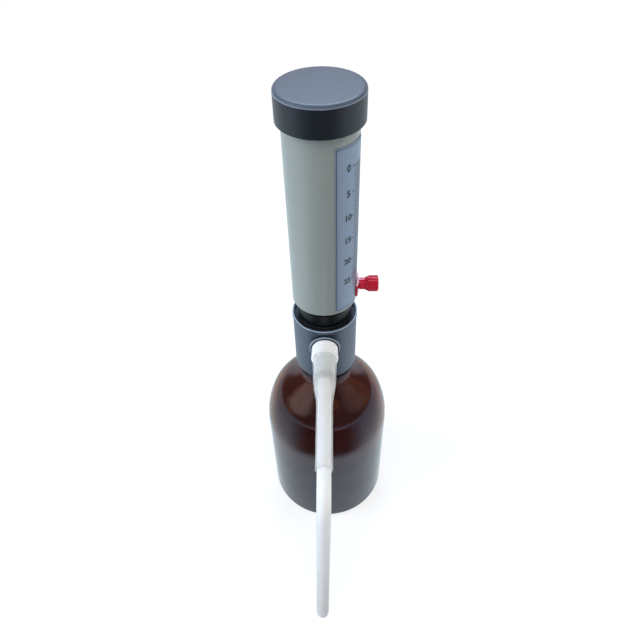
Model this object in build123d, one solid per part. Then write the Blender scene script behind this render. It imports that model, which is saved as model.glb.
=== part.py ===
from build123d import *
from math import asin, cos, degrees, pi, radians, sin, sqrt, tan
import os

# Bottle top dispenser: an amber bottle with a lift-and-press piston dispenser on its neck.
# Millimetres, +Z up. The origin is the centre of the bottle's base. The spout points to -Y
# and the volume slot with its red knob faces +X.

# ---- Driving dimensions -------------------------------------------------------------------
running_fit = 0.05          # radial, between pieces that slide or turn on each other
loose_fit = 0.35            # radial, between pieces that only pass each other
seat_gap = 0.1              # between two flat faces that meet but do not clamp
ball_fit = 0.03             # between a valve ball and its seat
glue_gap = 0.05             # film of adhesive behind the scale plate
edge_chamfer = 0.6          # broken edges of the turned pieces
fine_chamfer = 0.4          # broken edges of the thin-walled pieces
overrun = 1.0               # how far a cutting tool runs past a face

bottle_radius = 41.0
bottle_wall = 2.8
bottle_floor = 4.5
heel_radius = 4.0
foot_recess = 1.2           # push-up of the bottle's underside
foot_ring_width = 9.0       # width of the ring that the bottle stands on
foot_slope = 6.0            # width of the slope up into the push-up
bottle_side_height = 80.5   # top of the straight side
dome_rise = 46.0
neck_radius = 14.6
neck_wall = 3.2
neck_length = 30.5          # from the top of the dome to the mouth
bead_radius = 16.9
bead_height = 4.6
bead_above_dome = 5.0
thread_pitch = 4.0
thread_depth = 1.25
thread_turns = 2
thread_below_mouth = 4.2

gasket_thickness = 1.5
gasket_overhang = 0.6       # inwards of the glass
block_radius = 18.7
block_skirt = 18.7          # length of the skirt that goes down over the neck
block_web_height = 22.5     # solid part above the neck
block_rim_radius = 19.0
block_rim_height = 3.2
block_rim_width = 1.6
block_recess = 1.8          # depth of the top face inside the rim
boss_radius = 9.0
boss_reach = 20.6           # from the axis to the boss's face
outlet_height = 10.8        # outlet passage above the underside of the web
passage_radius = 2.0
vent_radius = 0.8
vent_below_outlet = 4.0     # the vent's outer end, below the outlet passage

inlet_bore_radius = 4.2
seat_bore_radius = 1.5
seat_height = 4.0
seat_inset = 0.8            # the seat's underside above that of the web
seat_dish = 0.9             # depth of the ball's dish
ball_contact_share = 0.72   # radius of the ball's line of contact, as a share of the ball's
seat_nipple_radius = 2.45
seat_nipple_length = 8.0
inlet_ball_radius = 2.8
inlet_ball_lift = 1.4
cage_wall = 1.1
cage_bar = 1.4
cage_length = 8.2

intake_wall = 1.05
intake_above_floor = 5.0
intake_cut = 35.0           # degrees that the lower end is cut aslant

outlet_ball_radius = 2.1
outlet_ball_drop = 1.1
outlet_valve_offset = 8.1   # from the axis, towards the spout
outlet_bore_radius = 2.6
outlet_seat_height = 2.2
outlet_seat_hole = 1.25
outlet_seat_dish = 0.6
outlet_contact = 0.35       # the ball's line of contact, outside the hole
spring_hold_share = 0.75    # where the spring meets the ball, as a share of its radius
spring_wire = 0.45          # half the width of the flat wire, and its thickness
spring_turns = 5

nut_radius = 7.45
nut_length = 8.3
nut_bead = 0.25
nut_bead_width = 1.2
nut_bead_inset = 0.6        # from the nut's face
stem_radius = 5.0
stem_length = 6.5
stem_end_gap = 0.5
nipple_root_radius = 6.15
nipple_end_radius = 5.55
nipple_length = 13.5
nipple_lead = 1.0           # length of the slope at the nipple's end
hose_wall = 0.8
hose_taper_length = 20.0    # from the nipple's end to the straight part
hose_taper_steps = 7
hose_straight_length = 36.2

spout_radius = 3.5
spout_wall = 1.0
spout_end_gap = 1.5         # between the nipple and the spout, inside the hose
spout_lead = 5.3            # straight part between the hose and the bend
spout_bend_radius = 13.0
spout_lean = 6.4            # degrees outwards from straight down
spout_drop = 98.0           # straight part after the bend
spout_swing = 1.3           # degrees that the tube hangs off the upright, towards -X

bore_radius = 10.95
glass_wall = 1.5
stroke = 80.1
glass_foot_radius = 13.2
glass_foot_height = 3.0
seal_thickness = 0.8
spigot_radius = 14.2
spigot_wall = 0.9
collar_radius = 15.5
collar_height = 16.5
collar_visible = 12.0       # collar showing between the block and the sleeve
collar_groove = 0.7
groove_width = 1.6
groove_below_sleeve = 1.6

head_radius = 15.6
head_height = 4.6
head_web = 1.2              # above the end of the glass
head_clearance = 0.35       # left between the shoe and the head at the top of the stroke
head_skirt_length = 7.5
head_skirt_wall = 1.1

piston_gap = 0.35           # between the piston's body and the glass
piston_height = 12.0
piston_rest_gap = 1.0       # left under the piston when it is right down
ring_groove = 1.2
ring_height = 2.4
ring_inset = 2.5            # from the piston's end to the nearer groove
rod_radius = 4.0

sleeve_radius = 18.0
sleeve_wall = 1.9
disc_headroom = 11.95       # between the cylinder head and the disc above it, at rest
lip_radius = 12.6           # bore of the sleeve's inner lip
lip_thickness = 2.0
slot_width = 5.4
slot_above_end = 4.6        # from the sleeve's lower end to the slot's lower end
slot_headroom = 0.6         # left above the shoe at the top of the stroke
disc_thickness = 2.4
cap_radius = 20.5
cap_height = 14.9
cap_wall = 2.2
cap_top = 2.8
cap_fillet = 1.7
cap_overlap = 7.1           # how far the cap comes down over the sleeve

label_thickness = 0.25
label_start = 20.5          # degrees from the spout's side, towards the knob
label_margin = 0.9          # between the plate and the slot
label_bottom = 2.4          # above the sleeve's lower end
label_height = 96.8

selector_gap = 0.3          # from the sleeve to the shoe, and from the plate to the pointer
nose_reach = 14.0           # inner face of the shoe, from the axis
shoe_thickness = 1.7
shoe_width = 10.0
shoe_height = 5.4
pointer_thickness = 0.9
pointer_width = 13.0
pointer_height = 7.6
knob_height_above_end = 7.8 # knob's axis above the sleeve's lower end, at rest
stud_radius = 1.5
stud_inset = 0.8            # the stud's inner end, outside the shoe's inner face
stud_reach = 6.2            # length of the stud outside the pointer
knob_neck_radius = 3.35
knob_neck_length = 2.6
knob_radius = 4.55
knob_length = 10.7          # from the washer to the outer end
knob_taper = 2.2            # length of the cone from the neck to the grip
knob_chamfer = 0.5
knob_flutes = 16
flute_radius = 0.6
flute_depth = 0.35
washer_radius = 3.1
washer_thickness = 0.5

# ---- Levels that follow from them ---------------------------------------------------------
dome_top = bottle_side_height + dome_rise
mouth_level = dome_top + neck_length
web_bottom = mouth_level + gasket_thickness
block_bottom = web_bottom - block_skirt
block_top = web_bottom + block_web_height
outlet_level = web_bottom + outlet_height
sleeve_bottom = block_top + collar_visible
glass_bottom = block_top + seal_thickness
piston_bottom = block_top + seal_thickness + piston_rest_gap
knob_level = sleeve_bottom + knob_height_above_end
head_bottom = knob_level + shoe_height / 2 + stroke + head_clearance
sleeve_top = head_bottom + head_height + disc_headroom + disc_thickness + seat_gap + lip_thickness
sleeve_length = sleeve_top - sleeve_bottom
cap_bottom = sleeve_top - cap_overlap
cap_upper = cap_bottom + cap_height
glass_outer = bore_radius + glass_wall
sleeve_inner = sleeve_radius - sleeve_wall
lip_bottom = sleeve_top - lip_thickness
disc_top = lip_bottom - seat_gap
label_inner = sleeve_radius + glue_gap
label_radius = label_inner + label_thickness
nut_face = boss_reach + nut_length
nipple_tip = nut_face + nipple_length
hose_end = nipple_tip + hose_taper_length + hose_straight_length


def turned(points):
    """Solid turned about the Z axis from (radius, height) corners."""
    wire = Polyline(*[(r, 0, z) for r, z in points], close=True)
    return revolve(make_face(wire), Axis.Z)


def tube(outer, inner, bottom, top):
    """Plain ring between two levels."""
    return turned([(inner, bottom), (outer, bottom), (outer, top), (inner, top)])


def rod(radius, bottom, top):
    """Plain round bar between two levels."""
    return Pos(0, 0, bottom) * Cylinder(radius, top - bottom, align=(Align.CENTER, Align.CENTER, Align.MIN))


def towards_spout(solid):
    """Lay a part that was turned about Z along the outlet, its base on the bottle's axis."""
    return Pos(0, 0, outlet_level) * Rot(90, 0, 0) * solid


def towards_knob(solid):
    """Lay a part that was turned about Z along the knob's axis."""
    return Pos(0, 0, knob_level) * Rot(0, 90, 0) * solid


def save(solid, name):
    """Write one piece to its own file."""
    solid = solid.clean() if hasattr(solid, "clean") else solid
    export_step(solid, "parts/" + name + ".step")


# ---- Bottle -------------------------------------------------------------------------------
# The dome is three arcs that run into each other. Each ends at these shares of the drop in
# radius and of the rise, and a fourth arc turns up into the neck.
dome_shares = [(0.170, 0.511), (0.520, 0.765), (0.936, 0.959)]


def bottle_outline(wall, floor, upper):
    """Solid inside the bottle's outline, set in by the wall."""
    outer = bottle_radius - wall
    neck = neck_radius - (neck_wall if wall else 0)
    heel = heel_radius - wall / 2
    foot = (outer - heel, 0, floor)
    side_start, here = (outer, 0, floor + heel), (outer, 0, bottle_side_height)
    lines = [Line((0, 0, floor), foot), Line(side_start, here)]
    # Only the outside of the heel is rounded; inside, the glass slopes up to the wall.
    lines.append(Line(foot, side_start) if wall else TangentArc(foot, side_start, tangent=(1, 0, 0)))
    direction = Vector(0, 0, 1)
    for inwards, upwards in dome_shares:
        there = (outer - inwards * (outer - neck), 0,
                 bottle_side_height + upwards * (dome_rise - wall / 2))
        arc = TangentArc(here, there, tangent=direction)
        direction, here = arc % 1, there
        lines.append(arc)
    root = (here[0] - neck) / (1 - direction.Z)
    neck_start = (neck, 0, here[2] - root * direction.X)
    lines.append(TangentArc(here, neck_start, tangent=direction))
    lines.append(Polyline(neck_start, (neck, 0, upper), (0, 0, upper), (0, 0, floor)))
    return revolve(make_face(lines), Axis.Z)


def make_bottle():
    body = bottle_outline(0, 0, mouth_level)
    bead_level = dome_top + bead_above_dome
    bead_root = neck_radius - neck_wall / 2
    bead = turned([(bead_root, bead_level), (neck_radius, bead_level),
                   (bead_radius, bead_level + bead_height * 0.3),
                   (bead_radius, bead_level + bead_height * 0.7),
                   (neck_radius, bead_level + bead_height), (bead_root, bead_level + bead_height)])
    body += bead
    corners = body.edges().filter_by_position(Axis.Z, bead_level + bead_height * 0.2,
                                              bead_level + bead_height * 0.8)
    body = fillet(corners, bead_height * 0.19)
    # The screw thread is one rib wound round the neck.
    height = thread_pitch * thread_turns
    low = mouth_level - thread_below_mouth - height
    path = Helix(thread_pitch, height, neck_radius, center=(0, 0, low))
    half = thread_pitch * 0.3
    rib = Plane(origin=path @ 0, x_dir=(1, 0, 0), z_dir=path % 0)
    root = -neck_wall / 8
    section = rib * make_face(Polyline((root, -half), (thread_depth, -half * 0.45),
                                       (thread_depth, half * 0.45), (root, half), close=True))
    thread = sweep(section, path=path, is_frenet=True)
    body += thread
    body -= bottle_outline(bottle_wall, bottle_floor, mouth_level + overrun)
    # Hollow underside, so that the bottle stands on a ring.
    inner = bottle_radius - heel_radius - foot_ring_width
    body -= turned([(0, -overrun), (inner, -overrun), (inner, 0), (inner - foot_slope, foot_recess),
                    (0, foot_recess)])
    return body


def make_gasket():
    inner = neck_radius - neck_wall - gasket_overhang
    return tube(neck_radius - gasket_overhang / 2, inner, mouth_level, web_bottom)


# ---- Valve block --------------------------------------------------------------------------
def make_valve_block():
    skirt_bore = neck_radius + thread_depth + loose_fit
    rim = block_top - block_rim_height
    spigot_top = glass_bottom + glass_foot_height
    block = rod(block_radius, block_bottom, block_top)
    block = chamfer(block.edges().group_by(Axis.Z)[0], edge_chamfer)
    block += chamfer(rod(block_rim_radius, rim, block_top).edges(), edge_chamfer)
    boss = towards_spout(rod(boss_radius, 0, boss_reach))
    block += chamfer(boss.faces().sort_by(Axis.Y)[0].edges(), edge_chamfer)
    # Recessed top face, with the thin spigot that the collar nut screws on.
    block -= tube(block_rim_radius - block_rim_width, collar_radius + loose_fit, block_top - block_recess,
                  block_top + overrun)
    block += rod(spigot_radius, block_top, spigot_top)
    block -= rod(spigot_radius - spigot_wall, block_top, spigot_top + overrun)
    block -= rod(skirt_bore, block_bottom - overrun, web_bottom)
    block -= rod(inlet_bore_radius, web_bottom - overrun, block_top + overrun)
    # Outlet valve's own well, and the passage from it to the boss.
    floor = outlet_level - outlet_bore_radius
    block -= Pos(0, -outlet_valve_offset, 0) * rod(outlet_bore_radius, floor, block_top + overrun)
    block -= towards_spout(rod(passage_radius, outlet_valve_offset, boss_reach + overrun))
    block -= towards_spout(rod(stem_radius, boss_reach - stem_length, boss_reach + overrun))
    # Air hole from the bottle's mouth to the back.
    vent = outlet_level - vent_below_outlet
    back = block_radius + overrun
    block -= Pos(0, outlet_valve_offset, 0) * rod(vent_radius, web_bottom - overrun, vent)
    block -= Pos(0, back, vent) * Rot(90, 0, 0) * rod(vent_radius, 0, back - outlet_valve_offset)
    return block


# ---- Inlet valve and intake tube ----------------------------------------------------------
seat_bottom = web_bottom + seat_inset
seat_top = seat_bottom + seat_height
ball_contact = inlet_ball_radius * ball_contact_share
inlet_ball_level = seat_top - seat_dish + sqrt(inlet_ball_radius**2 - ball_contact**2)


def make_inlet_seat():
    seat = rod(inlet_bore_radius, seat_bottom, seat_top)
    seat += rod(seat_nipple_radius, seat_bottom - seat_nipple_length, seat_bottom)
    seat -= rod(seat_bore_radius, seat_bottom - seat_nipple_length - overrun, seat_top + overrun)
    # Dished seat, a little clear of the ball.
    seat -= Pos(0, 0, inlet_ball_level) * Sphere(inlet_ball_radius + ball_fit)
    return seat


def make_inlet_cage():
    cage = tube(inlet_bore_radius, inlet_bore_radius - cage_wall, seat_top, seat_top + cage_length)
    # Crossed bars stop the ball at the top of its lift.
    stop = inlet_ball_level + inlet_ball_radius + inlet_ball_lift + seat_gap
    bar = Pos(0, 0, stop) * Box(2 * inlet_bore_radius, cage_bar, cage_bar,
                                align=(Align.CENTER, Align.CENTER, Align.MIN))
    cross = bar + Rot(0, 0, 90) * bar
    return cage + (cross & rod(inlet_bore_radius - cage_wall / 2, stop, stop + cage_bar))


def make_intake_tube():
    low = bottle_floor + intake_above_floor
    high = seat_bottom - loose_fit
    pipe = tube(seat_nipple_radius + intake_wall, seat_nipple_radius, low, high)
    # The lower end is cut aslant so that it cannot seal against the floor.
    size = 8 * seat_nipple_radius
    cutter = Box(size, size, size, align=(Align.CENTER, Align.CENTER, Align.MAX))
    return pipe - Pos(0, 0, low) * Rot(0, intake_cut, 0) * cutter


# ---- Outlet valve -------------------------------------------------------------------------
outlet_seat_bottom = block_top - outlet_seat_height
outlet_ball_level = (outlet_seat_bottom + outlet_seat_dish
                     - sqrt(outlet_ball_radius**2 - (outlet_seat_hole + outlet_contact)**2))
spring_top = outlet_ball_level - outlet_ball_radius * spring_hold_share
spring_bottom = outlet_level - outlet_bore_radius


def make_outlet_seat():
    seat = tube(outlet_bore_radius, outlet_seat_hole, outlet_seat_bottom, block_top)
    seat -= Pos(0, 0, outlet_ball_level) * Sphere(outlet_ball_radius + ball_fit)
    return Pos(0, -outlet_valve_offset, 0) * seat


def make_outlet_spring():
    height = spring_top - spring_bottom - 2 * spring_wire
    radius = outlet_bore_radius - spring_wire - loose_fit
    path = Helix(height / spring_turns, height, radius, center=(0, 0, spring_bottom + spring_wire))
    # Flat wire, so that it closes up short.
    section = Plane(origin=path @ 0, x_dir=(1, 0, 0), z_dir=path % 0) * Rectangle(
        2 * spring_wire, spring_wire)
    return Pos(0, -outlet_valve_offset, 0) * sweep(section, path=path, is_frenet=True)


# ---- Discharge fitting, hose and spout ----------------------------------------------------
def make_discharge_fitting():
    body = rod(stem_radius, boss_reach - stem_length + stem_end_gap, boss_reach)
    body += chamfer(rod(nut_radius, boss_reach, nut_face).edges(), fine_chamfer)
    bead_end = nut_face - nut_bead_inset
    body += tube(nut_radius + nut_bead, stem_radius, bead_end - nut_bead_width, bead_end)
    body += turned([(0, nut_face), (nipple_root_radius, nut_face),
                    (nipple_end_radius, nipple_tip - nipple_lead),
                    (nipple_end_radius - edge_chamfer, nipple_tip), (0, nipple_tip)])
    body -= rod(passage_radius, 0, nipple_tip + overrun)
    return towards_spout(body)


hose_start = nut_face + seat_gap
hose_bore = spout_radius + running_fit


def make_hose():
    root = nipple_root_radius
    # Past the nipple the bore closes on the spout along an eased line.
    steps = [i / hose_taper_steps for i in range(hose_taper_steps + 1)]
    taper = [(hose_bore + (nipple_end_radius - hose_bore) * (1 + cos(pi * t)) / 2,
              nipple_tip + hose_taper_length * t) for t in steps]
    inner = [(root, hose_start)] + taper + [(hose_bore, hose_end)]
    outer = [(radius + hose_wall, level) for radius, level in inner]
    return towards_spout(turned(outer + inner[::-1]))


def make_spout():
    start = nipple_tip + spout_end_gap
    lean = radians(spout_lean)
    turn = pi / 2 - lean
    corner = hose_end + spout_lead + spout_bend_radius * tan(turn / 2)
    along = spout_bend_radius * tan(turn / 2) + spout_drop
    tip = (0, -corner - along * sin(lean), outlet_level - along * cos(lean))
    path = FilletPolyline((0, -start, outlet_level), (0, -corner, outlet_level), tip,
                          radius=spout_bend_radius)
    face = Plane(origin=(0, -start, outlet_level), z_dir=(0, -1, 0))
    outside = sweep(face * Circle(spout_radius), path=path)
    inside = sweep(face * Circle(spout_radius - spout_wall), path=path)
    return (outside - inside).rotate(Axis((0, 0, outlet_level), (0, 1, 0)), spout_swing)


# ---- Glass cylinder and what holds it -----------------------------------------------------
glass_top = head_bottom + head_height - head_web


def make_glass_cylinder():
    glass = rod(glass_outer, glass_bottom, glass_top)
    glass += rod(glass_foot_radius, glass_bottom, glass_bottom + glass_foot_height)
    return glass - rod(bore_radius, glass_bottom - overrun, glass_top + overrun)


def make_collar():
    foot_top = glass_bottom + glass_foot_height
    top = block_top + collar_height
    collar = chamfer(rod(collar_radius, block_top + seat_gap, top).edges(), edge_chamfer)
    # The bore steps in above the foot of the glass, and so holds it down.
    collar -= rod(glass_outer + loose_fit, block_top, top + overrun)
    collar -= rod(spigot_radius, block_top, foot_top)
    # Shallow groove where the grip ends, just under the sleeve.
    groove_top = sleeve_bottom - groove_below_sleeve
    return collar - tube(collar_radius + overrun, collar_radius - collar_groove,
                         groove_top - groove_width, groove_top)


def make_cylinder_head():
    top = head_bottom + head_height
    skirt_end = head_bottom - head_skirt_length
    head = rod(head_radius, head_bottom, top)
    head = chamfer(head.edges().group_by(Axis.Z)[-1], edge_chamfer)
    head += rod(glass_outer + head_skirt_wall, skirt_end, head_bottom)
    head -= rod(glass_outer, skirt_end - overrun, glass_top)
    return head - rod(rod_radius + loose_fit, head_bottom, top + overrun)


# ---- Piston -------------------------------------------------------------------------------
piston_top = piston_bottom + piston_height
piston_radius = bore_radius - piston_gap
lower_ring_level = piston_bottom + ring_inset
upper_ring_level = piston_top - ring_inset - ring_height


def make_piston():
    piston = chamfer(rod(piston_radius, piston_bottom, piston_top).edges(), edge_chamfer)
    for level in (lower_ring_level, upper_ring_level):
        piston -= tube(piston_radius + overrun, piston_radius - ring_groove, level, level + ring_height)
    return piston


def make_piston_ring(level):
    return tube(bore_radius - running_fit, piston_radius - ring_groove, level, level + ring_height)


def make_piston_rod():
    return rod(rod_radius, piston_top, cap_upper - cap_top)


# ---- Sleeve, scale plate and cap ----------------------------------------------------------
def make_sleeve():
    sleeve = tube(sleeve_radius, sleeve_inner, sleeve_bottom, sleeve_top)
    sleeve = chamfer(sleeve.edges().group_by(Axis.Z)[0], fine_chamfer)
    sleeve += tube(sleeve_radius - sleeve_wall / 2, lip_radius, lip_bottom, sleeve_top)
    slot_low = sleeve_bottom + slot_above_end + slot_width / 2
    slot_high = knob_level + stroke + shoe_height / 2 + slot_headroom - slot_width / 2
    slot = Pos(0, 0, (slot_low + slot_high) / 2) * Rot(0, 90, 0) * extrude(
        SlotCenterToCenter(slot_high - slot_low, slot_width), sleeve_radius + overrun)
    return sleeve - slot


def make_scale_plate():
    low = sleeve_bottom + label_bottom
    plate = tube(label_radius, label_inner, low, low + label_height)
    # Only the part between the plate's left edge and the slot is kept.
    edge = degrees(asin((slot_width / 2 + label_margin) / sleeve_radius))
    span = radians(90 - edge - label_start)
    reach = 3 * sleeve_radius
    wedge = extrude(make_face(Polyline((0, 0), (reach, 0), (reach * cos(span), reach * sin(span)),
                                       close=True)), label_height)
    return plate & (Pos(0, 0, low) * Rot(0, 0, label_start - 90) * wedge)


def make_rod_disc():
    return tube(sleeve_inner - loose_fit, rod_radius, disc_top - disc_thickness, disc_top)


def make_cap():
    cap = rod(cap_radius, cap_bottom, cap_upper)
    cap = fillet(cap.edges().group_by(Axis.Z)[-1], cap_fillet)
    cap = chamfer(cap.edges().group_by(Axis.Z)[0], fine_chamfer)
    cap -= rod(cap_radius - cap_wall, cap_bottom - overrun, cap_upper - cap_top)
    # Hub that takes the piston rod, clear of the sleeve's lip.
    hub = tube(lip_radius - loose_fit, rod_radius, disc_top, cap_upper - cap_top)
    return cap + hub


# ---- Volume selector ----------------------------------------------------------------------
pointer_inner = label_radius + selector_gap
washer_inner = pointer_inner + pointer_thickness


def band(outer, inner, width, height):
    """Piece of a ring facing +X at the knob's level."""
    ring = tube(outer, inner, knob_level - height / 2, knob_level + height / 2)
    window = Box(outer, width, height, align=(Align.MIN, Align.CENTER, Align.CENTER))
    return ring & (Pos(0, 0, knob_level) * window)


def make_selector_shoe():
    shoe = band(nose_reach + shoe_thickness, nose_reach, shoe_width, shoe_height)
    # A round boss guides the shoe in the slot, its end curved as the pointer is.
    boss = towards_knob(rod(slot_width / 2 - running_fit, nose_reach + shoe_thickness / 2, washer_inner))
    shoe += boss & rod(pointer_inner, 0, cap_upper)
    return shoe - towards_knob(rod(stud_radius, 0, washer_inner))


def make_pointer():
    plate = band(washer_inner, pointer_inner, pointer_width, pointer_height)
    return plate - towards_knob(rod(stud_radius, 0, washer_inner + overrun))


def make_stud():
    return towards_knob(rod(stud_radius, nose_reach + stud_inset, washer_inner + stud_reach))


def make_washer():
    return towards_knob(tube(washer_radius, stud_radius, washer_inner, washer_inner + washer_thickness))


def make_knob():
    base = washer_inner + washer_thickness + seat_gap
    end = washer_inner + knob_length
    neck_end = base + knob_neck_length
    body = turned([(0, base), (knob_neck_radius, base), (knob_neck_radius, neck_end),
                   (knob_radius, neck_end + knob_taper), (knob_radius, end - knob_chamfer),
                   (knob_radius - knob_chamfer, end), (0, end)])
    flute = Pos(knob_radius - flute_depth + flute_radius, 0, neck_end + knob_taper / 2) * Cylinder(
        flute_radius, knob_length, align=(Align.CENTER, Align.CENTER, Align.MIN))
    body -= [Rot(0, 0, i * 360 / knob_flutes) * flute for i in range(knob_flutes)]
    # Blind hole, threaded on the stud.
    return towards_knob(body - rod(stud_radius + running_fit, 0, washer_inner + stud_reach + seat_gap))


# ---- Write every piece --------------------------------------------------------------------
os.makedirs("parts", exist_ok=True)
save(make_bottle(), "bottle")
save(make_gasket(), "neck_gasket")
save(make_valve_block(), "valve_block")
save(make_inlet_seat(), "inlet_valve_seat")
save(Pos(0, 0, inlet_ball_level) * Sphere(inlet_ball_radius), "inlet_ball")
save(make_inlet_cage(), "inlet_valve_cage")
save(make_intake_tube(), "intake_tube")
save(make_outlet_seat(), "outlet_valve_seat")
save(Pos(0, -outlet_valve_offset, outlet_ball_level) * Sphere(outlet_ball_radius), "outlet_ball")
save(make_outlet_spring(), "outlet_spring")
save(make_discharge_fitting(), "discharge_fitting")
save(make_hose(), "hose_sleeve")
save(make_spout(), "spout_tube")
save(tube(spigot_radius - spigot_wall, bore_radius, block_top, glass_bottom), "cylinder_seal")
save(make_glass_cylinder(), "glass_cylinder")
save(make_collar(), "collar_nut")
save(make_cylinder_head(), "cylinder_head")
save(make_piston(), "piston")
save(make_piston_ring(lower_ring_level), "piston_ring_lower")
save(make_piston_ring(upper_ring_level), "piston_ring_upper")
save(make_piston_rod(), "piston_rod")
save(make_rod_disc(), "rod_disc")
save(make_sleeve(), "sleeve")
save(make_scale_plate(), "scale_plate")
save(make_cap(), "cap")
save(make_selector_shoe(), "selector_shoe")
save(make_pointer(), "selector_pointer")
save(make_stud(), "selector_stud")
save(make_washer(), "knob_washer")
save(make_knob(), "selector_knob")
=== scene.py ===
from math import cos, pi, radians, sin

import bmesh
import bpy
from mathutils import Matrix, Vector


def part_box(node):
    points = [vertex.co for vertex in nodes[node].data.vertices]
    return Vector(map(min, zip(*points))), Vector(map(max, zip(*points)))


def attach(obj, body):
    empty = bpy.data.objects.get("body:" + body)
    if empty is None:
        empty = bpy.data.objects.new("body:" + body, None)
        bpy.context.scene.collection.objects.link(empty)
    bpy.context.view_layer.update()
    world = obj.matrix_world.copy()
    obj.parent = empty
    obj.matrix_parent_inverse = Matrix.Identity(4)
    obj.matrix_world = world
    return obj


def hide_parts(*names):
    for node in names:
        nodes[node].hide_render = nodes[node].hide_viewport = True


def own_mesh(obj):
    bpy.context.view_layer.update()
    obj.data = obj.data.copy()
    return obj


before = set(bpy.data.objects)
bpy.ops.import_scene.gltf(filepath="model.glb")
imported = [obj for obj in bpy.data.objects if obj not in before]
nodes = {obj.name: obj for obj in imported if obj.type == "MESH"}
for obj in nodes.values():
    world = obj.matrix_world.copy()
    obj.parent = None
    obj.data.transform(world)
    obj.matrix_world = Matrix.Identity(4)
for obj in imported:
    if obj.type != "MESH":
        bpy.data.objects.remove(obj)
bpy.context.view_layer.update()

# ---- Camera -------------------------------------------------------------------------------
# Held a little above arm's length over the bench, looking steeply down at the front of the
# dispenser, with a slight lean to one side.
pitch, heading, lean = radians(45.53), radians(1.9), radians(-1.8)
eye = (0.0049, -0.2365, 0.4128)
ahead = Vector((-sin(heading) * cos(pitch), cos(heading) * cos(pitch), -sin(pitch)))
right = Vector((cos(heading), sin(heading), 0))
above = right.cross(ahead)
side = right * cos(lean) + above * sin(lean)
top = above * cos(lean) - right * sin(lean)
camera_data = bpy.data.cameras.new("camera")
camera_data.lens, camera_data.sensor_width = 31.8, 36
camera_data.clip_start, camera_data.clip_end = 0.01, 20
camera = bpy.data.objects.new("camera", camera_data)
camera.matrix_world = Matrix.Translation(eye) @ Matrix(
    (side, top, -ahead)).transposed().to_4x4()
bpy.context.scene.collection.objects.link(camera)
bpy.context.scene.camera = camera

# ---- Bottle -------------------------------------------------------------------------------
# Reagent bottle blown in amber soda-lime glass. The brown comes from iron and sulphur in the
# melt, so thick and steeply seen glass looks nearly black and the surface stays hard and clear.


def linear(hex_value):
    """Linear colour, with alpha, of an sRGB hex value."""
    parts = [int(hex_value[i:i + 2], 16) / 255 for i in (1, 3, 5)]
    return [c / 12.92 if c <= 0.04045 else ((c + 0.055) / 1.055) ** 2.4 for c in parts] + [1.0]


def add_node(tree, kind, settings=None, links=None):
    """One shader node with its settings and what feeds its sockets."""
    node = tree.nodes.new(kind)
    for name, value in (settings or {}).items():
        if isinstance(name, str) and hasattr(node, name):
            setattr(node, name, value)
        else:
            node.inputs[name].default_value = value
    for name, source in (links or {}).items():
        tree.links.new(source, node.inputs[name])
    return node


def new_material(name, **settings):
    """A material with one Principled shader; socket names are written with underscores."""
    made = bpy.data.materials.new(name)
    made.use_nodes = True
    tree = made.node_tree
    tree.nodes.clear()
    shader = add_node(tree, "ShaderNodeBsdfPrincipled",
                      {key.replace("_", " "): value for key, value in settings.items()})
    add_node(tree, "ShaderNodeOutputMaterial", links={"Surface": shader.outputs[0]})
    return made, tree, shader


def dress(material, *names):
    """Give CAD nodes a material."""
    for name in names:
        mesh = nodes[name].data
        mesh.materials.clear()
        mesh.materials.append(material)


amber_glass, tree, shader = new_material(
    "amber_soda_lime_glass", Base_Color=linear("#84481C"), Roughness=0.03, IOR=1.56,
    Transmission_Weight=1.0, Specular_Tint=linear("#C4DCFF"))
place = add_node(tree, "ShaderNodeTexCoord")
# Slow waves left by the mould, about 30 mm long, and seed bubbles too fine to show.
waves = add_node(tree, "ShaderNodeTexNoise", {"Scale": 34.0, "Detail": 2.5},
                 {"Vector": place.outputs["Object"]})
bump = add_node(tree, "ShaderNodeBump", {"Strength": 0.35, "Distance": 0.0012},
                {"Height": waves.outputs["Fac"]})
tree.links.new(bump.outputs[0], shader.inputs["Normal"])
# Wiping marks that run down the bottle, about 2 mm apart, dull the skin a little.
stretch = add_node(tree, "ShaderNodeMapping", {"Scale": (420.0, 420.0, 14.0)},
                   {"Vector": place.outputs["Object"]})
marks = add_node(tree, "ShaderNodeTexNoise", {"Scale": 1.0, "Detail": 3.0},
                 {"Vector": stretch.outputs[0]})
gloss = add_node(tree, "ShaderNodeMapRange",
                 {"From Min": 0.52, "From Max": 0.75, "To Min": 0.03, "To Max": 0.16},
                 {"Value": marks.outputs["Fac"]})
tree.links.new(gloss.outputs[0], shader.inputs["Roughness"])
# The glass is tinted darker down the side than in the shoulder, painted shade so that less light
# comes through the lower body.
shaded_below, unshaded_above = 0.055, 0.095
axes = add_node(tree, "ShaderNodeSeparateXYZ", {}, {"Vector": place.outputs["Object"]})
lower_shade = add_node(tree, "ShaderNodeMapRange", {"From Min": shaded_below, "From Max": unshaded_above},
                     {"Value": axes.outputs["Z"]})
tint = add_node(tree, "ShaderNodeMix",
                {"data_type": "RGBA", 6: linear("#5C3418"), 7: linear("#84481C")},
                {0: lower_shade.outputs[0]})
tree.links.new(tint.outputs[2], shader.inputs["Base Color"])
dress(amber_glass, "bottle")

# ---- Valve block --------------------------------------------------------------------------
# Turned and bored from grey-blue PVC rod: it screws on the neck, holds both valves and
# carries the cylinder. The lathe leaves a satin skin with a faint sheen on its edges.
block_pvc, tree, shader = new_material(
    "turned_grey_pvc", Base_Color=linear("#29333F"), Roughness=0.32, IOR=1.64,
    Specular_IOR_Level=1.0, Specular_Tint=linear("#E2EBF8"))
place = add_node(tree, "ShaderNodeTexCoord")
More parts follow.
